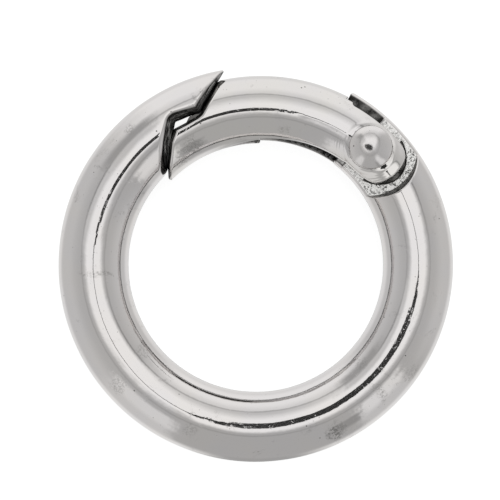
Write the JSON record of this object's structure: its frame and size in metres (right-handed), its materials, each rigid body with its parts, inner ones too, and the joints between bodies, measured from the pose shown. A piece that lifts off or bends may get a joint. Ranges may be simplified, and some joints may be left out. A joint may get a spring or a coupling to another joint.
{
  "type": "spring gate ring clasp",
  "caption": "Round spring gate ring clasp: a polished cast ring with an inward-opening sprung gate, a scarfed hook latch and a dome-headed hinge rivet.",
  "frame": {"origin": "centre of the ring at the middle plane of its bar", "axes": "+Z out of the front face through the eye, +Y towards the gate's side as pictured, +X towards the hinge side"},
  "size_m": [0.025, 0.0248, 0.0054],
  "materials": {
    "body_plating": "polished nickel plate over die-cast zinc, faint pits and scratches",
    "gate_plating": "polished nickel plate over die-cast zinc, faint pits and scratches",
    "rivet_plating": "bright nickel plate",
    "spring_steel": "dark drawn spring wire"
  },
  "bodies": {
    "ring": {"ring_body": "body_plating"},
    "gate": {"gate": "gate_plating", "hinge_rivet": "rivet_plating", "gate_spring": "spring_steel"}
  },
  "joints": [
    {"name": "gate_hinge", "type": "hinge", "parent": "ring", "child": "gate", "pos_m": [0.00719, 0.00734, 0], "axis": [0, 0, 1], "range_deg": [0, 30], "stiffness_Nm_per_rad": 0.0015, "springref_deg": -51.57, "deforming": ["gate_spring"]}
  ]
}
